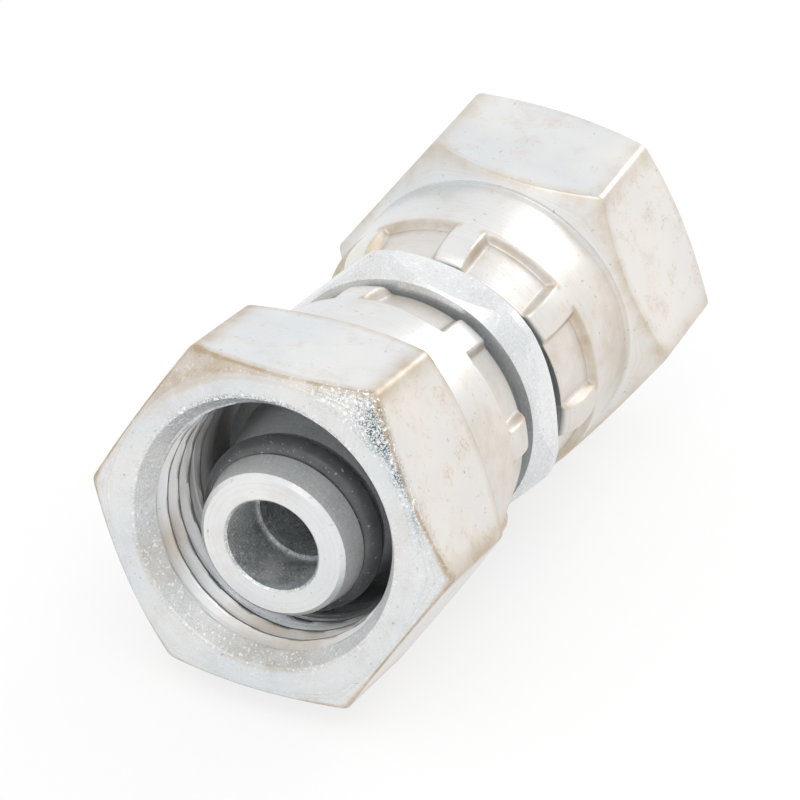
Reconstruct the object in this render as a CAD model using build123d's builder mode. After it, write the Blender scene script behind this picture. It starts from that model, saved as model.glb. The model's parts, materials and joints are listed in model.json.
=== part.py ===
"""Straight adapter with a loose swivel nut on each end, for 24 degree cone fittings.

One turned body carries a 24 degree nose with a rubber ring at each end and a hexagon
in the middle. A nut with a female thread is slipped over each nose, and the skirt
behind its hexagon is pressed in at eight places, so that the nut can't come off
again but still turns. Millimetres. The body lies along X, from the front nut to the
rear nut, with its middle at the origin, and Z is up. Both nuts lie tipped in their
play on the body, mouths up, so each has an axis of its own.
"""
from build123d import *
from math import asin, cos, degrees, radians, sin, sqrt, tan
import os

# Swivel nut, with depths measured from its mouth
nut_length = 19.8
nut_across_flats = 22.0
nut_hex_length = 10.5
nut_corner_radius = 0.6
nut_face_relief = 0.9
nut_face_chamfer_angle = 28.0
nut_back_relief = 1.1
nut_back_chamfer_angle = 36.0
skirt_wall = 1.5
skirt_rim_radius = 1.0

# Female metric thread, bored to its minor diameter
thread_diameter = 18.0
thread_pitch = 1.5
thread_end_depth = 9.2
mouth_diameter = 18.2
mouth_depth = 1.2
relief_step = 0.61

# Crimped skirt that holds the nut on the body
crimp_count = 8
crimp_width = 6.0
crimp_length = 3.9
crimp_depth = 0.55
crimp_taper_angle = 7.0
crimp_corner_radius = 0.5
lip_room = 1.5
lip_length = 3.3
lip_exit_chamfer = 0.5
front_crimp_turn = 8.5
rear_crimp_turn = 18.0

# Turned body, with lengths measured from the end of its nose
body_across_flats = 19.0
body_hex_length = 3.5
body_hex_turn = 14.0
body_hex_face_relief = 0.3
body_hex_chamfer_angle = 50.0
body_corner_diameter = 21.0
nose_diameter = 10.1
nose_edge_chamfer = 0.25
cone_angle = 24.0
flange_room = 0.29
flange_length = 2.93
flange_lead_angle = 45.0
seat_angle = 45.0
body_neck_diameter = 9.8
neck_corner_relief = 0.5
flow_bore_diameter = 6.0
entry_bore_diameter = 6.4
entry_bore_depth = 4.3
bore_edge_chamfer = 0.15

# Rubber ring in its groove
ring_section = 1.86
ring_groove_start = 2.05
ring_groove_width = 2.1
ring_groove_diameter = 8.7
ring_seat_gap = 0.04

# How the loose nuts lie on the body
nut_end_gap = 1.4
nose_recess = 1.4
seat_play = 1.05
lip_sag = 0.3
front_nut_tilt = 6.73
rear_nut_tilt = 4.21
front_hex_turn = 0.0
rear_hex_turn = -5.0

# Derived sizes and places
thread_minor_diameter = thread_diameter - 1.0825 * thread_pitch
relief_diameter = thread_minor_diameter + 2 * relief_step
skirt_diameter = relief_diameter + 2 * skirt_wall
crimp_floor_radius = skirt_diameter / 2 - crimp_depth
lip_diameter = body_neck_diameter + 2 * lip_room
lip_depth = nut_length - lip_length
flange_diameter = thread_minor_diameter - 2 * flange_room
mouth_x = body_hex_length / 2 + nut_end_gap + nut_length
nose_x = mouth_x - nose_recess
body_length = 2 * nose_x
hex_start = nose_x - body_hex_length / 2
body_axis = Axis((0, 0, 0), (1, 0, 0))


def nut_mouth_plane(side, tilt):
    """Plane across the mouth of a nut, looking into it. side is -1 in front, 1 at the rear.

    The nut is tipped about the middle of its lip, which lies a little below the body's axis.
    """
    mouth_lift = lip_depth * sin(radians(tilt)) - lip_sag
    inward = (-side * cos(radians(tilt)), 0, -sin(radians(tilt)))
    mouth_centre = (side * mouth_x, 0, mouth_lift)
    return Plane(origin=mouth_centre, x_dir=(0, 1, 0), z_dir=inward)


def nut_half_plane(side, mouth):
    """Plane through a nut's axis: x is the depth from its mouth, y the distance from its axis."""
    return Plane(origin=mouth.origin, x_dir=mouth.z_dir, z_dir=(0, side, 0))


def nose_half_plane(side):
    """Plane through the body's axis: x is the depth from the end of a nose, y the radius."""
    return Plane(origin=(side * nose_x, 0, 0), x_dir=(-side, 0, 0), z_dir=(0, side, 0))


def chamfered_hexagon_outline(length, across_flats, corner_radius, start, end):
    """Half outline of the turned form whose cones take the corners off a hexagon's ends.

    start and end each say by how much the round face there is smaller than the width
    across flats, and at what angle its cone falls away.
    """
    start_relief, start_angle = start
    end_relief, end_angle = end
    start_radius = (across_flats - start_relief) / 2
    end_radius = (across_flats - end_relief) / 2
    start_depth = (corner_radius - start_radius) * tan(radians(start_angle))
    end_depth = (corner_radius - end_radius) * tan(radians(end_angle))
    return [
        (0, 0),
        (0, start_radius),
        (start_depth, corner_radius),
        (length - end_depth, corner_radius),
        (length, end_radius),
        (length, 0),
    ]


def crimp_jaw(turn):
    """What one press jaw takes out of the skirt, with its depth along Z.

    Its floor is round the nut's axis and closes in towards the rim. turn is the angle
    of its middle from X.
    """
    past_rim = nut_length + skirt_rim_radius
    start_depth = nut_length - crimp_length
    taper = tan(radians(crimp_taper_angle))
    arc = 2 * degrees(asin(crimp_width / skirt_diameter))
    with BuildPart() as jaw:
        with BuildSketch(Plane.XZ.rotated((0, 0, turn - arc / 2))):
            with BuildLine():
                Polyline(
                    (crimp_floor_radius, start_depth),
                    (crimp_floor_radius - taper * (past_rim - start_depth), past_rim),
                    (skirt_diameter, past_rim),
                    (skirt_diameter, start_depth),
                    close=True,
                )
            make_face()
        revolve(axis=Axis.Z, revolution_arc=arc)
        start_face = jaw.faces().sort_by(Axis.Z)[0]
        fillet(start_face.edges().filter_by(GeomType.LINE), crimp_corner_radius)
    return jaw.part


def swivel_nut(side, tilt, hex_turn, crimp_turn):
    """A swivel nut: chamfered hexagon, crimped skirt, threaded mouth and the lip's seat."""
    mouth = nut_mouth_plane(side, tilt)
    half_plane = nut_half_plane(side, mouth)
    nut_axis = Axis(mouth.origin, mouth.z_dir)
    skirt_radius = skirt_diameter / 2
    thread_radius = thread_minor_diameter / 2
    relief_radius = relief_diameter / 2
    lip_radius = lip_diameter / 2
    seat_length = (relief_radius - lip_radius) / tan(radians(seat_angle))
    rim_start = nut_length - skirt_rim_radius

    with BuildPart(mouth) as nut:
        with BuildSketch(mouth):
            RegularPolygon(nut_across_flats / 2, 6, major_radius=False, rotation=hex_turn)
        extrude(amount=nut_hex_length)
        fillet(nut.edges().filter_by(nut_axis), nut_corner_radius)
        with BuildSketch(half_plane):
            with BuildLine():
                Polyline(
                    *chamfered_hexagon_outline(
                        nut_hex_length,
                        nut_across_flats,
                        nut_across_flats / sqrt(3),
                        (nut_face_relief, nut_face_chamfer_angle),
                        (nut_back_relief, nut_back_chamfer_angle),
                    ),
                    close=True,
                )
            make_face()
        revolve(axis=nut_axis, mode=Mode.INTERSECT)

        # Round skirt behind the hexagon, with a rounded rim
        with BuildSketch(half_plane):
            with BuildLine():
                Polyline(
                    (rim_start, skirt_radius),
                    (nut_hex_length / 2, skirt_radius),
                    (nut_hex_length / 2, 0),
                    (nut_length, 0),
                    (nut_length, skirt_radius - skirt_rim_radius),
                )
                CenterArc((rim_start, skirt_radius - skirt_rim_radius), skirt_rim_radius, 0, 90)
            make_face()
        revolve(axis=nut_axis)
        with PolarLocations(0, crimp_count):
            add(crimp_jaw(crimp_turn), mode=Mode.SUBTRACT)

        # Countersunk mouth, thread, relief, and the seat and bore of the lip
        with BuildSketch(half_plane):
            with BuildLine():
                Polyline(
                    (0, 0),
                    (0, mouth_diameter / 2),
                    (mouth_depth, thread_radius),
                    (thread_end_depth, thread_radius),
                    (thread_end_depth + relief_radius - thread_radius, relief_radius),
                    (lip_depth - seat_length, relief_radius),
                    (lip_depth, lip_radius),
                    (nut_length - lip_exit_chamfer, lip_radius),
                    (nut_length, lip_radius + lip_exit_chamfer),
                    (nut_length, 0),
                    close=True,
                )
            make_face()
        revolve(axis=nut_axis, mode=Mode.SUBTRACT)
    return nut.part


def cone_radius(depth):
    """Radius of the 24 degree nose at a depth from its end."""
    return nose_diameter / 2 + depth * tan(radians(cone_angle / 2))


def half_body(side):
    """The turned half of the body on one side: nose, ring groove, flange, seat and neck."""
    flange_radius = flange_diameter / 2
    neck_radius = body_neck_diameter / 2
    groove_radius = ring_groove_diameter / 2
    groove_end = ring_groove_start + ring_groove_width
    cone_slope = tan(radians(cone_angle / 2))
    lead_slope = tan(radians(flange_lead_angle))
    seat_slope = tan(radians(seat_angle))

    # The flange's back is the seat for the nut's lip, and its lead cone meets the nose
    seat_depth = lip_depth - nose_recess - seat_play
    neck_start = seat_depth + (lip_diameter / 2 - neck_radius) / seat_slope
    flange_end = seat_depth - (flange_radius - lip_diameter / 2) / seat_slope
    flange_start = flange_end - flange_length
    whole_rise = flange_radius - cone_radius(0)
    cone_length = (flange_start * lead_slope - whole_rise) / (lead_slope - cone_slope)
    with BuildPart() as half:
        with BuildSketch(nose_half_plane(side)):
            with BuildLine():
                Polyline(
                    (0, 0),
                    (0, cone_radius(0) - nose_edge_chamfer),
                    (nose_edge_chamfer, cone_radius(nose_edge_chamfer)),
                    (ring_groove_start, cone_radius(ring_groove_start)),
                    (ring_groove_start, groove_radius),
                    (groove_end, groove_radius),
                    (groove_end, cone_radius(groove_end)),
                    (cone_length, cone_radius(cone_length)),
                    (flange_start, flange_radius),
                    (flange_end, flange_radius),
                    (neck_start, neck_radius),
                    (hex_start - neck_corner_relief, neck_radius),
                    (hex_start, neck_radius + neck_corner_relief),
                    (nose_x, neck_radius + neck_corner_relief),
                    (nose_x, 0),
                    close=True,
                )
            make_face()
        revolve(axis=body_axis)
    return half.part


def o_ring(side):
    """Rubber ring, seated on the floor of its groove."""
    ring_radius = ring_section / 2
    centre_radius = ring_groove_diameter / 2 + ring_seat_gap + ring_radius
    with BuildPart() as ring:
        with BuildSketch(nose_half_plane(side)):
            with Locations((ring_groove_start + ring_groove_width / 2, centre_radius)):
                Circle(ring_radius)
        revolve(axis=body_axis)
    return ring.part


os.makedirs("parts", exist_ok=True)

with BuildPart() as adapter_body:
    with BuildSketch(Plane.YZ):
        RegularPolygon(body_across_flats / 2, 6, major_radius=False, rotation=body_hex_turn)
    extrude(amount=body_hex_length / 2, both=True)
    hex_face = (body_hex_face_relief, body_hex_chamfer_angle)
    corner_radius = body_corner_diameter / 2
    outline = chamfered_hexagon_outline(
        body_hex_length, body_across_flats, corner_radius, hex_face, hex_face
    )
    with BuildSketch(nose_half_plane(1)):
        with BuildLine():
            Polyline(*[(hex_start + depth, radius) for depth, radius in outline], close=True)
        make_face()
    revolve(axis=body_axis, mode=Mode.INTERSECT)
    add(half_body(-1))
    add(half_body(1))

    # Bore from end to end, a little wider behind each nose
    with BuildSketch(nose_half_plane(-1)):
        with BuildLine():
            Polyline(
                (0, 0),
                (0, entry_bore_diameter / 2 + bore_edge_chamfer),
                (bore_edge_chamfer, entry_bore_diameter / 2),
                (entry_bore_depth, entry_bore_diameter / 2),
                (entry_bore_depth, flow_bore_diameter / 2),
                (body_length - entry_bore_depth, flow_bore_diameter / 2),
                (body_length - entry_bore_depth, entry_bore_diameter / 2),
                (body_length - bore_edge_chamfer, entry_bore_diameter / 2),
                (body_length, entry_bore_diameter / 2 + bore_edge_chamfer),
                (body_length, 0),
                close=True,
            )
        make_face()
    revolve(axis=body_axis, mode=Mode.SUBTRACT)
adapter_body.part.label = "adapter_body"
export_step(adapter_body.part, "parts/adapter_body.step")

ends = (
    ("front", -1, front_nut_tilt, front_hex_turn, front_crimp_turn),
    ("rear", 1, rear_nut_tilt, rear_hex_turn, rear_crimp_turn),
)
for end, side, tilt, hex_turn, crimp_turn in ends:
    nut = swivel_nut(side, tilt, hex_turn, crimp_turn)
    nut.label = end + "_swivel_nut"
    export_step(nut, "parts/" + nut.label + ".step")
    ring = o_ring(side)
    ring.label = end + "_o_ring"
    export_step(ring, "parts/" + ring.label + ".step")
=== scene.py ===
"""Looks of a straight hydraulic adapter with two crimped swivel nuts.

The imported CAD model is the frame. Both nuts are drawn again as fine surfaces with
rounded edges, pressed crimps and a cut thread, each on the axis of the joint that it
turns on. The body and its rubber rings keep their CAD meshes and get materials.
Metres throughout. X runs along the adapter, Z up.
"""
import json
import math

import bpy
import numpy as np
from mathutils import Matrix, Vector


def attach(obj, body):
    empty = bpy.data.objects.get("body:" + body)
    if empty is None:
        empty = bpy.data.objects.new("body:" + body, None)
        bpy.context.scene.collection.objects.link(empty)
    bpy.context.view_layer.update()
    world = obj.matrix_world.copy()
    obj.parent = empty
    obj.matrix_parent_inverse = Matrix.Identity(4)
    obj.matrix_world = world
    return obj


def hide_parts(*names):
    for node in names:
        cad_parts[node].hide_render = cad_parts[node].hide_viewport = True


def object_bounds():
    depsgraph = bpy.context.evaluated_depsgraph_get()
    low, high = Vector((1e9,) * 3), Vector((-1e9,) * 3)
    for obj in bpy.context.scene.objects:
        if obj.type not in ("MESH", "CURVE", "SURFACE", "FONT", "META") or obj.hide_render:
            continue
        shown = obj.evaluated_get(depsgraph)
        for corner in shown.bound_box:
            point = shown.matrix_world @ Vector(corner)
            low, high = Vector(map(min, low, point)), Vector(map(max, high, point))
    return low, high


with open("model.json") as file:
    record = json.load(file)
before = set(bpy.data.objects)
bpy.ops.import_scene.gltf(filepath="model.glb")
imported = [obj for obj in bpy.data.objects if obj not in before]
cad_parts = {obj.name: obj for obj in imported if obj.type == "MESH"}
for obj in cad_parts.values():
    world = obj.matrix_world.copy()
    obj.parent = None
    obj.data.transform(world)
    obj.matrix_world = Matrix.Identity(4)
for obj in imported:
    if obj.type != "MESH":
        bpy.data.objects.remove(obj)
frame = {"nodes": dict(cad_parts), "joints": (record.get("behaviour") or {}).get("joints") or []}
CAD_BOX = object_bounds()

bl_info = {
    "name": "Straight adapter with swivel nuts",
    "version": (1, 0, 0),
    "blender": (4, 5, 0),
    "location": "3D View > Sidebar > Adapter",
    "description": "Builds the finished looks of a straight adapter around its CAD model",
    "category": "Object",
}

MM = 0.001
NUT_NODES = {"front": "front_swivel_nut", "rear": "rear_swivel_nut"}
NUT_BODIES = {"front": "front_nut", "rear": "rear_nut"}
NUT_SIDES = {"front": -1.0, "rear": 1.0}
NUT_JOINTS = {"front": "front_nut_spin", "rear": "rear_nut_spin"}
FULL_TURN = 2 * math.pi
SIXTH_TURN = math.pi / 3

# Where a nut's finish or painted shade differs round its axis: middle and reach of each spot, in
# degrees
TONE_SPOTS = {
    "tan corner": (68.0, 38.0),
    "tan bottom": (265.0, 32.0),
    "tan left": (332.0, 14.0),
    # The skirt's right-hand side, darker and browner: painted shade
    "painted shade side": (180.0, 50.0),
    "gritty corner": (134.0, 24.0),
    "teal top": (82.0, 30.0),
}

# The body's zones, by distance from its axis and by distance from its middle
BORE_EDGE = (3.25 * MM, 3.4 * MM)
TURNED_EDGE = (9.2 * MM, 9.4 * MM)
NOSE_FACE = (21.3 * MM, 21.4 * MM)

# Each lamp's place, size and power
LAMPS = {
    "back_lamp": ((0.43, -0.15, 0.31), 0.2, 0.45),
    "front_lamp": ((-0.25, -0.1, 0.45), 0.35, 0.5),
}


def length_property(name, description, default):
    """A length in metres with a name and a description."""
    return bpy.props.FloatProperty(
        name=name, description=description, default=default, min=0.0, precision=5, unit="LENGTH"
    )


def angle_property(name, description, degrees):
    """An angle, given in degrees and kept in radians."""
    return bpy.props.FloatProperty(
        name=name, description=description, default=math.radians(degrees), unit="ROTATION"
    )


def count_property(name, description, default):
    """A whole number of at least one."""
    return bpy.props.IntProperty(name=name, description=description, default=default, min=1)


def value_property(name, description, default):
    """A plain number."""
    return bpy.props.FloatProperty(name=name, description=description, default=default, min=0.0)


def share_property(name, description, default):
    """A share from 0 to 1."""
    return bpy.props.FloatProperty(
        name=name, description=description, default=default, min=0.0, max=1.0, subtype="FACTOR"
    )


def colour_property(name, description, default):
    """A linear colour."""
    return bpy.props.FloatVectorProperty(
        name=name, description=description, default=default, size=3, min=0.0, max=1.0,
        subtype="COLOR",
    )


def warmth_property(name, description, default):
    """How beige each of the six flats is, from the flat after the corner at angle 0: painted warm
    reflection.
    """
    return bpy.props.FloatVectorProperty(
        name=name, description=description, default=default, size=6, min=0.0, max=1.0
    )


class SwivelNutSettings(bpy.types.PropertyGroup):
    """Sizes of one swivel nut, with depths measured from its mouth."""

    length: length_property("Length", "Whole length of the nut", 19.8 * MM)
    across_flats: length_property("Across flats", "Width of the hexagon", 22.0 * MM)
    hex_length: length_property("Hexagon length", "Length of the hexagon", 10.5 * MM)
    corner_radius: length_property("Corner radius", "Rounding of the hexagon's corners", 0.6 * MM)
    face_relief: length_property("Face relief", "Flats less the front face's diameter", 0.9 * MM)
    face_angle: angle_property("Face chamfer", "Angle of the front chamfer", 28.0)
    back_relief: length_property("Back relief", "Flats less the back face's diameter", 1.1 * MM)
    back_angle: angle_property("Back chamfer", "Angle of the back chamfer", 36.0)
    skirt_diameter: length_property("Skirt diameter", "Diameter of the round skirt", 20.6 * MM)
    rim_drop: length_property("Rim drop", "Fall of the skirt's radius over its rim", 1.0 * MM)
    rim_length: length_property("Rim length", "Length over which the rim falls", 2.6 * MM)
    mouth_diameter: length_property("Mouth diameter", "Diameter of the countersink", 18.2 * MM)
    mouth_depth: length_property("Mouth depth", "Depth of the countersink", 1.6 * MM)
    thread_diameter: length_property("Thread diameter", "Diameter at the thread's roots", 18.0 * MM)
    thread_pitch: length_property("Thread pitch", "Pitch of the thread", 1.5 * MM)
    thread_height: length_property("Thread height", "Height of the thread", 0.81 * MM)
    thread_end: length_property("Thread end", "Depth where the thread ends", 9.2 * MM)
    relief_diameter: length_property("Relief", "Bore behind the thread", 17.6 * MM)
    lip_diameter: length_property("Lip diameter", "Bore of the lip", 12.8 * MM)
    lip_length: length_property("Lip length", "Length of the lip", 3.3 * MM)
    lip_chamfer: length_property("Lip chamfer", "Chamfer at the lip's exit", 0.5 * MM)
    crimp_count: count_property("Crimps", "Pressed places round the skirt", 8)
    crimp_width: length_property("Crimp width", "Width of a pressed place", 6.0 * MM)
    crimp_length: length_property("Crimp length", "Length of a pressed place", 3.9 * MM)
    crimp_radius: length_property("Crimp floor", "Radius at a crimp's floor", 9.75 * MM)
    crimp_taper: angle_property("Crimp taper", "Slope of a crimp's floor", 7.0)
    front_turn: angle_property("Front crimp turn", "Turn of the front nut's crimps", 8.5)
    rear_turn: angle_property("Rear crimp turn", "Turn of the rear nut's crimps", 18.0)
    front_hex_turn: angle_property("Front hexagon turn", "Turn of the front hexagon", 0.0)
    rear_hex_turn: angle_property("Rear hexagon turn", "Turn of the rear hexagon", -5.0)
    # Painted reflection: each flat's beige follows the way it faces
    front_reflection_tint: warmth_property(
        "Front warmth", "Beige of the front nut's flats", (0.3, 0.08, 0.62, 0.45, 0.15, 0.2)
    )
    rear_reflection_tint: warmth_property(
        "Rear warmth", "Beige of the rear nut's flats", (0.2, 0.3, 0.5, 0.5, 0.2, 0.2)
    )
    front_wear: share_property("Front wear", "Tan along the front nut's edges", 1.0)
    rear_wear: share_property("Rear wear", "Tan along the rear nut's edges", 0.55)
    columns: count_property("Columns", "Even steps of the surface round the nut", 240)
    thread_rows: count_property("Thread rows", "Steps of the surface along the thread", 118)


class FinishSettings(bpy.types.PropertyGroup):
    """Colours and grain of the plating and the rubber."""

    zinc: colour_property("Zinc", "Bright zinc plating", (0.83, 0.83, 0.82))
    cool: colour_property("Cool zinc", "Blue passivated tint", (0.72, 0.76, 0.79))
    body_zinc: colour_property("Body zinc", "Bluish zinc of the body", (0.84, 0.855, 0.865))
    # The warm zinc is passivation tint, and also painted warm reflection and painted shade
    warm: colour_property("Warm zinc", "Beige passivated tint", (0.84, 0.74, 0.64))
    # The worn tone is also painted shade in the crimps and on the skirts' right sides
    worn: colour_property("Worn", "Tan tone along worn edges", (0.52, 0.41, 0.28))
    # The grime tone is dark specks and grit, and painted shade in thread roots and at rims
    grime: colour_property("Grime", "Dark teal tone in grooves and pits", (0.03, 0.10, 0.13))
    rubber: colour_property("Rubber", "Seal rubber", (0.095, 0.096, 0.10))
    cloud_scale: value_property("Clouds", "Cloudy tints in one metre", 90.0)
    mottle_scale: value_property("Mottle", "Mottled spots in one metre", 480.0)
    fibre_scale: value_property("Fibres", "Thin brown lines in one metre", 900.0)
    speck_scale: value_property("Specks", "Dark specks in one metre", 2600.0)
    grit_scale: value_property("Grit", "Grains of the front chamfer in one metre", 9000.0)
    metal_share: share_property("Metal", "How much of the plating shines as bare metal", 0.9)
    inner_share: share_property("Inner metal", "The same inside the nuts", 0.72)
    sink_share: share_property("Sink metal", "The same in the countersinks", 0.25)
    matt_share: share_property("Matt metal", "The same on the body", 0.55)
    turning_scale: value_property("Turning marks", "Turned lines in one metre", 7000.0)
    bloom_scale: value_property("Bloom", "Pale spots of the rubber in one metre", 700.0)


class StageSettings(bpy.types.PropertyGroup):
    """Camera, floor and light."""

    camera_distance: length_property("Camera distance", "From the aim to the camera", 0.26218)
    camera_azimuth: angle_property("Camera azimuth", "Turn from the -X side towards -Y", 23.97)
    camera_elevation: angle_property("Camera elevation", "Height above the horizon", 30.50)
    camera_roll: angle_property("Camera roll", "Turn about the line of sight", 2.40)
    camera_aim: bpy.props.FloatVectorProperty(
        name="Camera aim", description="Point in the middle of the picture", size=3,
        default=(-0.00063, 0.00087, -0.00038), unit="LENGTH",
    )
    lens: value_property("Lens", "Focal length in millimetres", 175.5)
    world_level: value_property("World level", "Light of the world on plain surfaces", 0.92)
    floor_colour: colour_property("Floor", "Pale floor", (0.94, 0.94, 0.94))
    floor_white: share_property("Floor white", "Share of plain white seen on the floor", 0.7)
    floor_reach: length_property("Floor reach", "From the middle to the floor's edge", 3.0)


def smooth_step(low, high, value):
    """0 below low, 1 above high, and a smooth S between them."""
    t = np.clip((value - low) / (high - low), 0.0, 1.0)
    return t * t * (3.0 - 2.0 * t)


def bell(value, width):
    """1 at zero, falling as a bell curve to a third at the width."""
    return np.exp(-((value / width) ** 2))


def turn_from(angles, start, pitch):
    """Signed angle from the nearest of the evenly pitched places that begin at start."""
    return (angles - start + pitch / 2) % pitch - pitch / 2


def tone_spot(angles, name):
    """1 in the middle of a named spot round the nut, falling as a bell curve."""
    middle, reach = TONE_SPOTS[name]
    return bell(turn_from(angles, math.radians(middle), FULL_TURN), math.radians(reach))


def rounded_corner(before, corner, after, reach, steps):
    """Points of a rounded profile corner, for every column of a grid at once.

    before, corner and after are (depth, radius) pairs of arrays. The corner becomes a
    parabola that leaves the first side and meets the second at the same distance,
    reach, from the corner.
    """
    corner = np.stack(corner)
    to_before = np.stack(before) - corner
    to_after = np.stack(after) - corner
    start = corner + to_before / np.linalg.norm(to_before, axis=0) * reach
    end = corner + to_after / np.linalg.norm(to_after, axis=0) * reach
    t = np.linspace(0.0, 1.0, steps)[:, None, None]
    return (1 - t) ** 2 * start + 2 * t * (1 - t) * corner + t**2 * end


def straight_rows(start, end, count):
    """Evenly spaced rows between two profile points, without the points themselves."""
    t = np.linspace(0.0, 1.0, count + 2)[1:-1, None, None]
    return np.stack(start) * (1 - t) + np.stack(end) * t


def nut_angles(nut, hex_turn, crimp_turn):
    """Angles of the grid's columns: even all round, closer at corners and crimp sides."""
    even = np.linspace(0.0, FULL_TURN, nut.columns, endpoint=False)
    corners = hex_turn + np.arange(6) * SIXTH_TURN
    corner_fan = np.radians(np.linspace(-3.0, 3.0, 17))
    crimps = crimp_turn + np.arange(nut.crimp_count) * FULL_TURN / nut.crimp_count
    half_crimp = math.asin(nut.crimp_width / nut.skirt_diameter)
    side_fan = np.radians(np.linspace(-3.2, 0.6, 8))
    angles = [even, (corners[:, None] + corner_fan).ravel()]
    for side in (-1.0, 1.0):
        angles.append((crimps[:, None] + side * (half_crimp + side_fan)).ravel())
    angles = np.sort(np.concatenate(angles) % FULL_TURN)
    return angles[np.diff(angles, append=angles[0] + FULL_TURN) > 1e-4]


def hexagon_radius(angles, across_flats, corner_radius):
    """Radius of a hexagon with rounded corners at each angle, with a corner at angle 0.

    Off the corner the radius is the apothem over the cosine of the angle from the
    nearest flat's middle. Near it, the ray meets the corner's own small circle.
    """
    apothem = across_flats / 2
    from_corner = turn_from(angles, 0.0, SIXTH_TURN)
    flat = apothem / np.cos(SIXTH_TURN / 2 - np.abs(from_corner))
    centre = (apothem - corner_radius) / math.cos(SIXTH_TURN / 2)
    inside = corner_radius**2 - (centre * np.sin(from_corner)) ** 2
    round_corner = centre * np.cos(from_corner) + np.sqrt(np.maximum(inside, 0.0))
    across = corner_radius * math.sin(SIXTH_TURN / 2)
    touch = math.atan2(across, centre + corner_radius * math.cos(SIXTH_TURN / 2))
    return np.where(np.abs(from_corner) < touch, round_corner, flat)


def chamfer_ends(nut, hexagon):
    """Radii of the front and back faces, and the depths where their chamfers meet the flats."""
    face = (nut.across_flats - nut.face_relief) / 2
    back = (nut.across_flats - nut.back_relief) / 2
    front_depth = (hexagon - face) * math.tan(nut.face_angle)
    back_depth = nut.hex_length - (hexagon - back) * math.tan(nut.back_angle)
    return face, back, front_depth, back_depth


def across_crimp(nut, crimp_turn, angles):
    """Sideways distance from the middle of the nearest pressed place."""
    turn = turn_from(angles, crimp_turn, FULL_TURN / nut.crimp_count)
    return np.abs(np.sin(turn)) * nut.skirt_diameter / 2


def crimped_radius(nut, crimp_turn, angles, depth, radius):
    """Skirt radius after the press: each jaw leaves a round, sloping floor with soft sides."""
    start = nut.length - nut.crimp_length
    floor = nut.crimp_radius - (depth - start) * math.tan(nut.crimp_taper)
    sideways = across_crimp(nut, crimp_turn, angles)
    half = nut.crimp_width / 2
    pressed = 1.0 - smooth_step(half - 0.55 * MM, half + 0.05 * MM, sideways)
    pressed = pressed * smooth_step(start - 0.08 * MM, start + 0.34 * MM, depth)
    return radius - pressed * np.maximum(radius - floor, 0.0)


def thread_cut(nut, angles, depth):
    """How deep the right-handed 60 degree thread is cut, from 0 at its crest to 1 at its root.

    Along the axis it is a wave of straight flanks, one pitch to a turn, with a crest and
    a root each an eighth of the pitch wide. It fades out in the countersink and at its end.
    """
    phase = (depth / nut.thread_pitch - angles / FULL_TURN) % 1.0
    from_root = np.abs(phase - 0.5)
    half_land = 1 / 16
    cut = np.clip((0.5 - half_land - from_root) / (0.5 - 2 * half_land), 0.0, 1.0)
    fade_in = smooth_step(0.55 * nut.mouth_depth, nut.mouth_depth, depth)
    fade_out = smooth_step(nut.thread_end, nut.thread_end - nut.thread_pitch, depth)
    return cut * fade_in * fade_out


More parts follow.
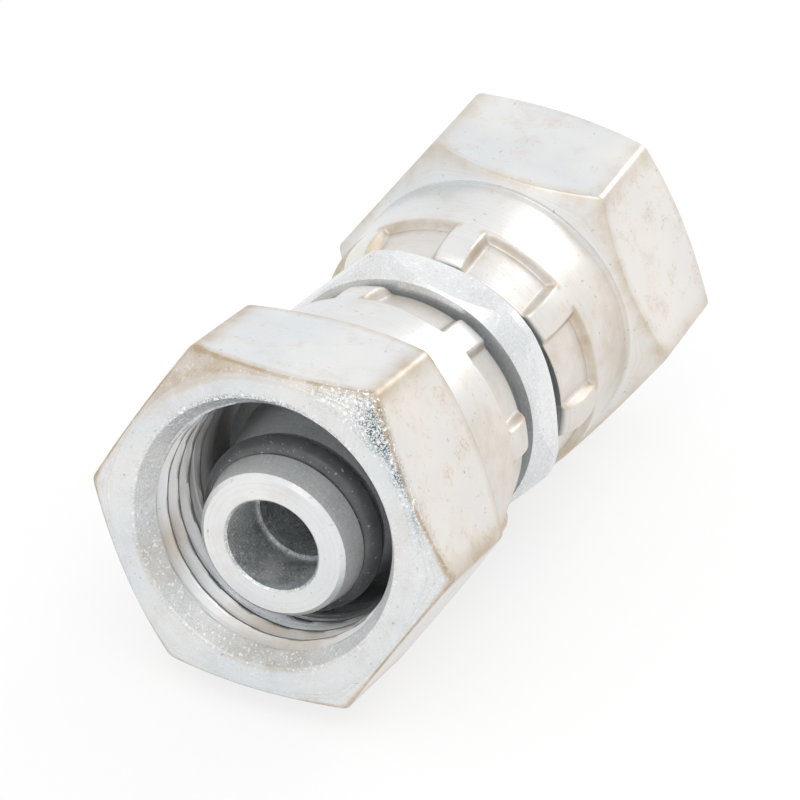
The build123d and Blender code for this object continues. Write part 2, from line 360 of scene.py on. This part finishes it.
def nut_surface(nut, hexagon, crimp_turn, angles):
    """Depth and radius of a nut's whole skin as (rows, columns) arrays, and each row's strip.

    The rows run from the mouth's edge over the hexagon and the skirt to the rim, and
    back through the lip, the relief and the thread, so the skin closes on itself.
    """
    even = np.ones_like(angles)
    face, back, front_depth, back_depth = chamfer_ends(nut, hexagon)
    skirt = nut.skirt_diameter / 2
    mouth = nut.mouth_diameter / 2
    minor = nut.thread_diameter / 2 - nut.thread_height
    relief = nut.relief_diameter / 2
    lip = nut.lip_diameter / 2
    lip_start = nut.length - nut.lip_length
    crimp_start = nut.length - nut.crimp_length
    rim_start = nut.length - nut.rim_length

    def at(depth, radius):
        return depth * even, radius * even

    mouth_edge, face_edge = at(0.0, mouth), at(0.0, face)
    front_corner = (front_depth, hexagon)
    back_corner = (back_depth, hexagon)
    back_face, skirt_root = at(nut.hex_length, back), at(nut.hex_length, skirt)
    thread_start, thread_end = at(nut.mouth_depth, minor), at(nut.thread_end, minor)
    relief_start = at(nut.thread_end + relief - minor, relief)
    seat_edge, lip_root = at(lip_start - (relief - lip), relief), at(lip_start, lip)
    lip_edge = at(nut.length - nut.lip_chamfer, lip)
    lip_mouth = at(nut.length, lip + nut.lip_chamfer)
    rim = at(nut.length, skirt - nut.rim_drop)

    # Skirt: plain to the crimps, close rows over their start, then the rim's quarter ellipse
    plain = np.linspace(nut.hex_length + 0.5 * MM, crimp_start - 0.3 * MM, 6)
    step = np.linspace(crimp_start - 0.1 * MM, crimp_start + 0.4 * MM, 10)
    floor = np.linspace(crimp_start + 0.6 * MM, rim_start, 4)
    turn = np.linspace(0.0, math.pi / 2, 13)[1:]
    straight = np.concatenate([plain, step, floor])
    skirt_depth = np.append(straight, rim_start + nut.rim_length * np.sin(turn))
    skirt_radius = np.append(
        np.full(straight.size, skirt), skirt - nut.rim_drop * (1 - np.cos(turn))
    )
    skirt_depth, skirt_radius = skirt_depth[:, None] * even, skirt_radius[:, None] * even
    pressed = crimped_radius(nut, crimp_turn, angles, skirt_depth, skirt_radius)

    # Thread and countersink, from the relief back to the mouth
    cut_depth = np.linspace(nut.thread_end, 0.12 * MM, nut.thread_rows)[:, None] * even
    sink = mouth - (mouth - minor) * cut_depth / nut.mouth_depth
    cut = minor + nut.thread_height * thread_cut(nut, angles, cut_depth)
    cut_rows = np.stack([cut_depth, np.maximum(sink, cut)], axis=1)

    strips = {
        "mouth edge": rounded_corner(thread_start, mouth_edge, face_edge, 0.10 * MM, 4),
        "face": straight_rows(mouth_edge, face_edge, 3),
        "face edge": rounded_corner(mouth_edge, face_edge, front_corner, 0.12 * MM, 4),
        "front chamfer": straight_rows(face_edge, front_corner, 3),
        "front corner": rounded_corner(face_edge, front_corner, back_corner, 0.16 * MM, 5),
        "flats": straight_rows(front_corner, back_corner, 11),
        "back corner": rounded_corner(front_corner, back_corner, back_face, 0.16 * MM, 5),
        "back edge": rounded_corner(back_corner, back_face, skirt_root, 0.05 * MM, 3),
        "skirt root": rounded_corner(back_face, skirt_root, (rim[0], skirt_root[1]), 0.05 * MM, 3),
        "skirt": np.stack([skirt_depth, pressed], axis=1),
        "rim edge": rounded_corner(rim, lip_mouth, lip_edge, 0.10 * MM, 3),
        "lip exit": rounded_corner(lip_mouth, lip_edge, lip_root, 0.10 * MM, 3),
        "lip": rounded_corner(lip_edge, lip_root, seat_edge, 0.15 * MM, 3),
        "seat": rounded_corner(lip_root, seat_edge, relief_start, 0.20 * MM, 3),
        "relief": rounded_corner(seat_edge, relief_start, thread_end, 0.10 * MM, 3),
        "thread": cut_rows,
    }
    grid = np.concatenate(list(strips.values()))
    names = np.repeat(list(strips), [len(rows) for rows in strips.values()])
    return grid[:, 0], grid[:, 1], names


def skin_masks(nut, end, hexagon, hex_turn, crimp_turn, angles, depth, radius, names):
    """Values that the finish reads at every point of a nut's skin.

    Each is about 0 to 1, apart from run, the distance along the profile in metres.
    """

    def on(*strips):
        return np.isin(names, strips)[:, None] * np.ones_like(depth)

    front_depth, back_depth = chamfer_ends(nut, hexagon)[2:]
    to_front = np.abs(depth - front_depth)
    to_back = np.abs(depth - back_depth)
    to_corner = np.abs(turn_from(angles, hex_turn, SIXTH_TURN)) * hexagon
    flats = on("front corner", "flats", "back corner")
    lines = bell(to_front, 0.14 * MM) + bell(to_back, 0.18 * MM)
    corners = 0.8 * bell(to_corner, 0.8 * MM)
    tan_corner = tone_spot(angles, "tan corner")
    chamfer = on("front chamfer") + 0.5 * on("face edge", "front corner")
    # Painted shade: the skirt's right-hand side
    painted_shade_side = tone_spot(angles, "painted shade side")
    wear = getattr(nut, end + "_wear")
    edge = wear * np.clip(lines + corners, 0.0, 1.0) * flats + 0.75 * wear * chamfer * tan_corner
    tan_mouth = 0.6 * tone_spot(angles, "tan bottom") + 0.6 * tone_spot(angles, "tan left")
    mouth_side = on("thread", "mouth edge") * (depth < nut.mouth_depth + 2 * nut.thread_pitch)
    # Painted shade: the skirt's right-hand side takes the worn tan
    edge = edge + 0.32 * painted_shade_side * on("skirt")
    edge = edge + tan_mouth * mouth_side

    # Painted shade: tan in the crimps, strongest on their step walls and sides
    start = nut.length - nut.crimp_length
    sideways = across_crimp(nut, crimp_turn, angles)
    half = nut.crimp_width / 2
    wall = bell(depth - start - 0.15 * MM, 0.3 * MM) * (sideways < half + 0.2 * MM)
    side = bell(sideways - half + 0.2 * MM, 0.22 * MM) * (depth > start)
    pressed = (sideways < half) * (depth > start)
    crimp = np.clip(wall + 0.7 * side + 0.4 * pressed, 0.0, 1.0) * on("skirt")

    # Painted reflection: each flat beige or cool by the way it faces
    warmth = np.array(getattr(nut, end + "_reflection_tint"))
    flat_number = (((angles - hex_turn) % FULL_TURN) / SIXTH_TURN).astype(int) % 6
    # Painted shade: the skirt turns beiger on its right-hand side
    round_skin = 0.12 + 0.35 * painted_shade_side
    warm = flats * warmth[flat_number] + on("skirt", "skirt root", "back edge") * round_skin
    warm = np.clip(warm + 0.85 * chamfer * tan_corner + 0.1 * on("face", "mouth edge"), 0.0, 1.0)

    sunk = on("thread", "mouth edge") * (depth < nut.mouth_depth)
    grit = chamfer * (0.1 + 0.9 * tone_spot(angles, "gritty corner")) + 0.06 * on("face")
    grit = grit + sunk * (0.2 + 0.6 * tone_spot(angles, "teal top"))
    # Painted shade: the thread's roots and the rim's end darkened
    cut = thread_cut(nut, angles, depth) * on("thread") * (depth > nut.mouth_depth)
    rim_end_shade = on("rim edge") + on("skirt") * smooth_step(0.12 * MM, 0.0, nut.length - depth)
    steps = np.hypot(*(np.diff(side, axis=0, prepend=side[:1]) for side in (depth, radius)))
    return {
        "edge": edge,
        "crimp": crimp,
        "warm": warm,
        "grit": grit,
        "inside": on("lip exit", "lip", "seat", "relief", "thread"),
        "sink": sunk,
        "groove_shade": np.maximum(smooth_step(0.82, 1.0, cut), 0.8 * rim_end_shade),
        "turned": 1.0 - flats - 0.6 * on("face", "face edge", "mouth edge"),
        "fibres": flats * (0.25 + 0.75 * warm) + 0.2 * on("face", "skirt"),
        "run": np.cumsum(steps.mean(axis=1))[:, None] * np.ones_like(depth),
    }


def closed_grid(name, points, masks):
    """Mesh from a grid of points that closes on itself in both directions."""
    rows, columns = points.shape[:2]
    index = np.arange(rows * columns).reshape(rows, columns)
    right = np.roll(index, -1, axis=1)
    down = np.roll(index, -1, axis=0)
    corner = np.roll(right, -1, axis=0)
    faces = np.stack([index, right, corner, down], axis=-1).reshape(-1, 4)
    mesh = bpy.data.meshes.new(name)
    mesh.vertices.add(rows * columns)
    mesh.vertices.foreach_set("co", points.reshape(-1).astype(np.float32))
    mesh.loops.add(faces.size)
    mesh.loops.foreach_set("vertex_index", faces.reshape(-1).astype(np.int32))
    mesh.polygons.add(len(faces))
    mesh.polygons.foreach_set("loop_start", np.arange(0, faces.size, 4, dtype=np.int32))
    mesh.update(calc_edges=True)
    mesh.shade_smooth()
    mesh.set_sharp_from_angle(angle=math.radians(40))
    for mask_name, values in masks.items():
        attribute = mesh.attributes.new(mask_name, "FLOAT", "POINT")
        attribute.data.foreach_set("value", values.reshape(-1).astype(np.float32))
    piece = bpy.data.objects.new(name, mesh)
    bpy.context.scene.collection.objects.link(piece)
    return piece


def swivel_nut(end, nut):
    """One nut's mesh on the axis of its joint: mouth outwards, crimps towards the middle."""
    joint = next(found for found in frame["joints"] if found["name"] == NUT_JOINTS[end])
    crimp_turn = getattr(nut, end + "_turn")
    hex_turn = getattr(nut, end + "_hex_turn")
    inward = -NUT_SIDES[end] * np.array(joint["axis"])
    across = np.array([0.0, 1.0, 0.0])
    upright = np.cross(inward, across)
    angles = nut_angles(nut, hex_turn, crimp_turn)
    hexagon = hexagon_radius(angles - hex_turn, nut.across_flats, nut.corner_radius)
    depth, radius, names = nut_surface(nut, hexagon, crimp_turn, angles)
    points = (
        np.array(joint["pos_m"])
        + depth[..., None] * inward
        + (radius * np.cos(angles))[..., None] * across
        + (radius * np.sin(angles))[..., None] * upright
    )
    masks = skin_masks(
        nut, end, hexagon, hex_turn, crimp_turn, angles, depth, radius, names
    )
    return closed_grid(end + "_nut_plated", points, masks)


def value_node(tree, kind, **settings):
    """New node with its settings and its unlinked input values."""
    node = tree.nodes.new(kind)
    inputs = settings.pop("inputs", {})
    for key, value in settings.items():
        setattr(node, key, value)
    for key, value in inputs.items():
        node.inputs[key].default_value = value
    return node


def feed(tree, source, socket):
    """Links a socket, or sets a plain value, into an input."""
    if isinstance(source, bpy.types.NodeSocket):
        tree.links.new(source, socket)
    else:
        socket.default_value = source


def noise(tree, place, scale, detail=3.0):
    """Noise over a place; gives its value."""
    node = value_node(tree, "ShaderNodeTexNoise", inputs={"Detail": detail, "Roughness": 0.58})
    feed(tree, place, node.inputs["Vector"])
    feed(tree, scale, node.inputs["Scale"])
    return node.outputs["Fac"]


def remap(tree, value, low, high, to_low=0.0, to_high=1.0):
    """Value carried from low..high to to_low..to_high and kept between them."""
    limits = {"From Min": low, "From Max": high, "To Min": to_low, "To Max": to_high}
    node = value_node(tree, "ShaderNodeMapRange", inputs=limits)
    feed(tree, value, node.inputs["Value"])
    return node.outputs["Result"]


def maths(tree, operation, first, second=0.0):
    """Result of one sum over two values."""
    node = value_node(tree, "ShaderNodeMath", operation=operation)
    feed(tree, first, node.inputs[0])
    feed(tree, second, node.inputs[1])
    return node.outputs["Value"]


def mix_colour(tree, factor, first, second):
    """Colour between two others."""
    node = value_node(tree, "ShaderNodeMix", data_type="RGBA")
    feed(tree, factor, node.inputs["Factor"])
    feed(tree, first, node.inputs["A"])
    feed(tree, second, node.inputs["B"])
    return node.outputs["Result"]


def new_group(name, colours, values, results):
    """Empty shader group with named colour and value inputs and typed outputs."""
    group = bpy.data.node_groups.new(name, "ShaderNodeTree")
    for socket in colours:
        group.interface.new_socket(socket, in_out="INPUT", socket_type="NodeSocketColor")
    for socket in values:
        group.interface.new_socket(socket, in_out="INPUT", socket_type="NodeSocketFloat")
    for socket, kind in results.items():
        group.interface.new_socket(socket, in_out="OUTPUT", socket_type=kind)
    given = group.nodes.new("NodeGroupInput").outputs
    result = group.nodes.new("NodeGroupOutput").inputs
    return group, given, result


def turning_group():
    """Node group of turned lines: noise over the run along the profile, where it was turned."""
    results = {"Lines": "NodeSocketFloat"}
    group, given, result = new_group("turning_marks", (), ("Run", "Turned", "Scale"), results)
    detail = {"Detail": 3.0}
    lines = value_node(group, "ShaderNodeTexNoise", noise_dimensions="1D", inputs=detail)
    group.links.new(given["Run"], lines.inputs["W"])
    group.links.new(given["Scale"], lines.inputs["Scale"])
    from_middle = maths(group, "SUBTRACT", lines.outputs["Fac"], 0.5)
    group.links.new(maths(group, "MULTIPLY", from_middle, given["Turned"]), result["Lines"])
    return group


def plating_group(finish):
    """Node group of bright zinc: colour, roughness and height from place and masks.

    Clouds drift between the plain and the cool zinc, and Warmth brings the beige, part of it
    painted reflection and painted shade. Over that lie a mottle, thin brown fibres, dark specks,
    turned lines, the tan of worn edges with painted shade in it, the dark grit of a chamfer with
    painted glints, and grime and painted shade in grooves.
    """
    colours = ("Zinc", "Cool", "Warm", "Worn", "Grime")
    values = ("Warmth", "Edge", "Fibres", "Grit", "Dirt and shade", "Lines")
    results = {
        "Colour": "NodeSocketColor", "Roughness": "NodeSocketFloat", "Height": "NodeSocketFloat"
    }
    group, given, result = new_group("zinc_plating", colours, values, results)
    place = group.nodes.new("ShaderNodeTexCoord").outputs["Object"]
    clouds = noise(group, place, finish.cloud_scale)
    mottle = noise(group, place, finish.mottle_scale, 4.0)
    fine = noise(group, place, finish.speck_scale, 1.0)

    colour = mix_colour(group, remap(group, clouds, 0.38, 0.62), given["Cool"], given["Zinc"])
    patchy = remap(group, mottle, 0.3, 0.7, 0.55, 1.0)
    beige = maths(group, "MULTIPLY", given["Warmth"], patchy)
    colour = mix_colour(group, beige, colour, given["Warm"])
    colour = mix_colour(group, remap(group, mottle, 0.52, 0.74, 0.0, 0.18), colour, given["Worn"])

    # A fibre lies where the noise crosses its middle, in scattered places only
    wave = maths(group, "SUBTRACT", noise(group, place, finish.fibre_scale, 2.0), 0.5)
    thin = remap(group, maths(group, "ABSOLUTE", wave), 0.004, 0.02, 1.0, 0.0)
    scattered = remap(group, noise(group, place, finish.mottle_scale), 0.47, 0.6, 0.0, 0.5)
    scattered = maths(group, "MULTIPLY", scattered, given["Fibres"])
    colour = mix_colour(group, maths(group, "MULTIPLY", thin, scattered), colour, given["Worn"])
    colour = mix_colour(group, remap(group, fine, 0.7, 0.82, 0.0, 0.4), colour, given["Grime"])
    shade = remap(group, given["Lines"], 0.0, 0.2, 0.0, 0.14)
    colour = mix_colour(group, shade, colour, given["Worn"])

    uneven = remap(group, mottle, 0.35, 0.6, 0.45, 0.95)
    # The Edge tan is worn edges, and painted shade in crimps and on skirts' right sides
    wear_and_shade = maths(group, "MULTIPLY", given["Edge"], uneven)
    colour = mix_colour(group, wear_and_shade, colour, given["Worn"])
    grains = remap(group, noise(group, place, finish.grit_scale, 2.0), 0.46, 0.53)
    grains = maths(group, "MULTIPLY", grains, remap(group, mottle, 0.36, 0.54, 0.35, 1.0))
    grains = maths(group, "MULTIPLY", grains, given["Grit"])
    colour = mix_colour(group, grains, colour, given["Grime"])
    # Painted glints: white spots among the grit
    painted_glints = remap(group, noise(group, place, finish.grit_scale / 2, 1.0), 0.6, 0.68)
    painted_glints = maths(group, "MULTIPLY", painted_glints, remap(group, given["Grit"], 0.0, 0.3))
    colour = mix_colour(group, painted_glints, colour, (1.0, 1.0, 1.0, 1.0))
    colour = mix_colour(group, given["Dirt and shade"], colour, given["Grime"])
    group.links.new(colour, result["Colour"])

    gloss = remap(group, clouds, 0.3, 0.7, 0.24, 0.38)
    dull_edge = maths(group, "MULTIPLY", given["Edge"], 0.2)
    group.links.new(maths(group, "ADD", gloss, dull_edge), result["Roughness"])
    grain = noise(group, place, finish.speck_scale * 0.7)
    rough = maths(group, "ADD", grain, maths(group, "MULTIPLY", mottle, 0.8))
    height = maths(group, "ADD", rough, maths(group, "MULTIPLY", given["Lines"], 1.5))
    group.links.new(height, result["Height"])
    return group


def plated_metal(name, finish):
    """New metal material with the plating in it; gives the material and the plating node."""
    material = bpy.data.materials.new(name)
    material.use_nodes = True
    tree = material.node_tree
    shader = tree.nodes["Principled BSDF"]
    group = bpy.data.node_groups.get("zinc_plating") or plating_group(finish)
    plating = value_node(tree, "ShaderNodeGroup", node_tree=group)
    for socket in ("Zinc", "Cool", "Warm", "Worn", "Grime"):
        plating.inputs[socket].default_value = (*getattr(finish, socket.lower()), 1.0)
    bump = value_node(tree, "ShaderNodeBump", inputs={"Strength": 0.16, "Distance": 0.05 * MM})
    tree.links.new(plating.outputs["Height"], bump.inputs["Height"])
    tree.links.new(bump.outputs["Normal"], shader.inputs["Normal"])
    tree.links.new(plating.outputs["Colour"], shader.inputs["Base Color"])
    tree.links.new(plating.outputs["Roughness"], shader.inputs["Roughness"])
    return material, plating


def turned_lines(tree, finish, run, turned, plating):
    """Puts the turned lines for a run and its mask into the plating."""
    group = bpy.data.node_groups.get("turning_marks") or turning_group()
    marks = value_node(tree, "ShaderNodeGroup", node_tree=group)
    marks.inputs["Scale"].default_value = finish.turning_scale
    feed(tree, run, marks.inputs["Run"])
    feed(tree, turned, marks.inputs["Turned"])
    tree.links.new(marks.outputs["Lines"], plating.inputs["Lines"])


def nut_material(finish):
    """Plating of the nuts: tan edges, gritty chamfers, painted shade in crimps and thread roots."""
    material, plating = plated_metal("zinc_nut", finish)
    tree = material.node_tree

    def mask(name):
        return value_node(tree, "ShaderNodeAttribute", attribute_name=name).outputs["Fac"]

    # Painted shade in the crimps goes in with the worn edges
    crimp = maths(tree, "MULTIPLY", mask("crimp"), 0.75)
    tree.links.new(maths(tree, "MAXIMUM", mask("edge"), crimp), plating.inputs["Edge"])
    metal = remap(tree, mask("inside"), 0.0, 1.0, finish.metal_share, finish.inner_share)
    most_metal = remap(tree, mask("sink"), 0.0, 1.0, 1.0, finish.sink_share)
    metal = maths(tree, "MINIMUM", metal, most_metal)
    tree.links.new(metal, tree.nodes["Principled BSDF"].inputs["Metallic"])
    tree.links.new(mask("grit"), plating.inputs["Grit"])
    tree.links.new(mask("warm"), plating.inputs["Warmth"])
    tree.links.new(mask("fibres"), plating.inputs["Fibres"])
    # Painted shade: thread roots and rim ends take the grime tone
    tree.links.new(maths(tree, "MULTIPLY", mask("groove_shade"), 0.6), plating.inputs["Dirt and shade"])
    turned_lines(tree, finish, mask("run"), mask("turned"), plating)
    return material


def body_material(finish):
    """Plating of the body: turned lines but on its hexagon; grime, grit and painted glints in its
    bore.
    """
    material, plating = plated_metal("zinc_body", finish)
    tree = material.node_tree
    parts = value_node(tree, "ShaderNodeSeparateXYZ")
    place = tree.nodes.new("ShaderNodeTexCoord")
    tree.links.new(place.outputs["Object"], parts.inputs["Vector"])
    squares = [maths(tree, "POWER", parts.outputs[axis], 2.0) for axis in ("Y", "Z")]
    radius = maths(tree, "SQRT", maths(tree, "ADD", *squares))
    along = maths(tree, "ABSOLUTE", parts.outputs["X"])
    turned = remap(tree, radius, *TURNED_EDGE, 1.0, 0.0)
    turned_lines(tree, finish, maths(tree, "ADD", along, radius), turned, plating)
    in_bore = remap(tree, radius, *BORE_EDGE, 1.0, 0.0)
    smear = noise(tree, place.outputs["Object"], finish.bloom_scale, 4.0)
    smear = remap(tree, smear, 0.4, 0.55, 0.3, 0.0)
    tree.links.new(maths(tree, "MULTIPLY", in_bore, smear), plating.inputs["Dirt and shade"])
    # Grit here brings dark grains and painted glints
    inside_nut = remap(tree, along, *NOSE_FACE, 0.14, 0.03)
    gritty = maths(tree, "MAXIMUM", inside_nut, maths(tree, "MULTIPLY", in_bore, 0.45))
    tree.links.new(gritty, plating.inputs["Grit"])
    tree.nodes["Principled BSDF"].inputs["Metallic"].default_value = finish.matt_share
    plating.inputs["Zinc"].default_value = (*finish.body_zinc, 1.0)
    plating.inputs["Warmth"].default_value = 0.15
    return material


def rubber_material(finish):
    """Seal rubber: dark, smooth, with a faint bloom and a few specks of dust."""
    material = bpy.data.materials.new("seal_rubber")
    material.use_nodes = True
    tree = material.node_tree
    shader = tree.nodes["Principled BSDF"]
    place = tree.nodes.new("ShaderNodeTexCoord").outputs["Object"]
    bloom = remap(tree, noise(tree, place, finish.bloom_scale), 0.35, 0.75)
    pale = (*(1.5 * channel for channel in finish.rubber), 1.0)
    shade = mix_colour(tree, bloom, (*finish.rubber, 1.0), pale)
    dust = remap(tree, noise(tree, place, finish.grit_scale / 2, 1.0), 0.68, 0.76, 0.0, 0.6)
    shade = mix_colour(tree, dust, shade, (*finish.cool, 1.0))
    tree.links.new(shade, shader.inputs["Base Color"])
    shader.inputs["Roughness"].default_value = 0.3
    return material


def put_material(piece, material):
    """Makes the material the piece's only one."""
    piece.data.materials.clear()
    piece.data.materials.append(material)


class ADAPTER_OT_swivel_nuts(bpy.types.Operator):
    """Draw both swivel nuts with their crimps, threads and plating"""

    bl_idname = "adapter.swivel_nuts"
    bl_label = "Swivel nuts"

    def execute(self, context):
        material = nut_material(context.scene.adapter_finish)
        for end, node in NUT_NODES.items():
            piece = swivel_nut(end, context.scene.adapter_nut)
            put_material(piece, material)
            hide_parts(node)
            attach(piece, NUT_BODIES[end])
        return {"FINISHED"}


class ADAPTER_OT_body(bpy.types.Operator):
    """Give the turned body its plating"""

    bl_idname = "adapter.body"
    bl_label = "Adapter body"

    def execute(self, context):
        body = frame["nodes"]["adapter_body"]
        put_material(body, body_material(context.scene.adapter_finish))
        return {"FINISHED"}


class ADAPTER_OT_o_rings(bpy.types.Operator):
    """Give the seal rings their rubber"""

    bl_idname = "adapter.o_rings"
    bl_label = "Seal rings"

    def execute(self, context):
        material = rubber_material(context.scene.adapter_finish)
        for node in ("front_o_ring", "rear_o_ring"):
            put_material(frame["nodes"][node], material)
        return {"FINISHED"}


def area_lamp(name, place, size, power):
    """Soft square lamp that faces the origin."""
    data = bpy.data.lights.new(name, "AREA")
    data.shape = "SQUARE"
    data.size = size
    data.energy = power
    lamp = bpy.data.objects.new(name, data)
    lamp.location = place
    lamp.rotation_euler = (-Vector(place)).to_track_quat("-Z", "Y").to_euler()
    bpy.context.scene.collection.objects.link(lamp)


def seen_directly(tree):
    """1 for a ray from the camera, or one that a shiny or clear surface sends on."""
    path = tree.nodes.new("ShaderNodeLightPath").outputs
    shiny = maths(tree, "MAXIMUM", path["Is Glossy Ray"], path["Is Transmission Ray"])
    return maths(tree, "MAXIMUM", path["Is Camera Ray"], shiny)


def white_world(stage):
    """World that lights softly and is white where the camera or a shiny surface sees it."""
    world = bpy.data.worlds.new("studio")
    bpy.context.scene.world = world
    world.use_nodes = True
    tree = world.node_tree
    background = tree.nodes["Background"]
    level = remap(tree, seen_directly(tree), 0.0, 1.0, stage.world_level, 1.0)
    tree.links.new(level, background.inputs["Strength"])
    background.inputs["Color"].default_value = (1.0, 1.0, 1.0, 1.0)


def pale_floor(stage):
    """Wide pale floor under the nuts, part plain white where it is seen, with a soft shadow."""
    height = CAD_BOX[0][2]
    reach = stage.floor_reach
    mesh = bpy.data.meshes.new("floor")
    corners = [(-reach, -reach, height), (reach, -reach, height), (reach, reach, height),
               (-reach, reach, height)]
    mesh.from_pydata(corners, [], [(0, 1, 2, 3)])
    floor = bpy.data.objects.new("floor", mesh)
    bpy.context.scene.collection.objects.link(floor)
    material = bpy.data.materials.new("pale_floor")
    material.use_nodes = True
    tree = material.node_tree
    shader = tree.nodes["Principled BSDF"]
    shader.inputs["Base Color"].default_value = (*stage.floor_colour, 1.0)
    shader.inputs["Roughness"].default_value = 0.9
    white = tree.nodes.new("ShaderNodeEmission")
    either = tree.nodes.new("ShaderNodeMixShader")
    share = maths(tree, "MULTIPLY", seen_directly(tree), stage.floor_white)
    tree.links.new(share, either.inputs["Fac"])
    tree.links.new(shader.outputs["BSDF"], either.inputs[1])
    tree.links.new(white.outputs["Emission"], either.inputs[2])
    tree.links.new(either.outputs["Shader"], tree.nodes["Material Output"].inputs["Surface"])
    put_material(floor, material)


def photo_camera(stage):
    """Camera at the photograph's angle, aimed and rolled as it was."""
    out = Vector((
        -math.cos(stage.camera_azimuth) * math.cos(stage.camera_elevation),
        -math.sin(stage.camera_azimuth) * math.cos(stage.camera_elevation),
        math.sin(stage.camera_elevation),
    ))
    data = bpy.data.cameras.new("camera")
    data.lens = stage.lens
    data.sensor_width = 36.0
    data.clip_start = 0.01
    camera = bpy.data.objects.new("camera", data)
    aim = (-out).to_track_quat("-Z", "Y").to_matrix().to_4x4()
    roll = Matrix.Rotation(stage.camera_roll, 4, "Z")
    place = Matrix.Translation(Vector(stage.camera_aim) + out * stage.camera_distance)
    camera.matrix_world = place @ aim @ roll
    bpy.context.scene.collection.objects.link(camera)
    bpy.context.scene.camera = camera


class ADAPTER_OT_stage(bpy.types.Operator):
    """Set up the pale floor, the soft lamps and the camera"""

    bl_idname = "adapter.stage"
    bl_label = "Stage"

    def execute(self, context):
        stage = context.scene.adapter_stage
        white_world(stage)
        pale_floor(stage)
        for name, lamp in LAMPS.items():
            area_lamp(name, *lamp)
        photo_camera(stage)
        context.scene.view_settings.view_transform = "Standard"
        return {"FINISHED"}


class ADAPTER_PT_panel(bpy.types.Panel):
    """Sidebar panel that lists the adapter's steps"""

    bl_idname = "ADAPTER_PT_panel"
    bl_label = "Adapter"
    bl_space_type = "VIEW_3D"
    bl_region_type = "UI"
    bl_category = "Adapter"

    def draw(self, context):
        for operator in OPERATORS:
            self.layout.operator(operator.bl_idname)


OPERATORS = (ADAPTER_OT_swivel_nuts, ADAPTER_OT_body, ADAPTER_OT_o_rings, ADAPTER_OT_stage)
SETTINGS = {
    "adapter_nut": SwivelNutSettings,
    "adapter_finish": FinishSettings,
    "adapter_stage": StageSettings,
}


def register():
    """Registers the settings, the operators and the panel."""
    for name, settings in SETTINGS.items():
        bpy.utils.register_class(settings)
        setattr(bpy.types.Scene, name, bpy.props.PointerProperty(type=settings))
    for operator in OPERATORS:
        bpy.utils.register_class(operator)
    bpy.utils.register_class(ADAPTER_PT_panel)


def unregister():
    """Takes everything out again."""
    bpy.utils.unregister_class(ADAPTER_PT_panel)
    for operator in reversed(OPERATORS):
        bpy.utils.unregister_class(operator)
    for name, settings in SETTINGS.items():
        delattr(bpy.types.Scene, name)
        bpy.utils.unregister_class(settings)


def main():
    register()
    bpy.ops.adapter.swivel_nuts()
    bpy.ops.adapter.body()
    bpy.ops.adapter.o_rings()
    bpy.ops.adapter.stage()


if __name__ == "__main__":
    main()
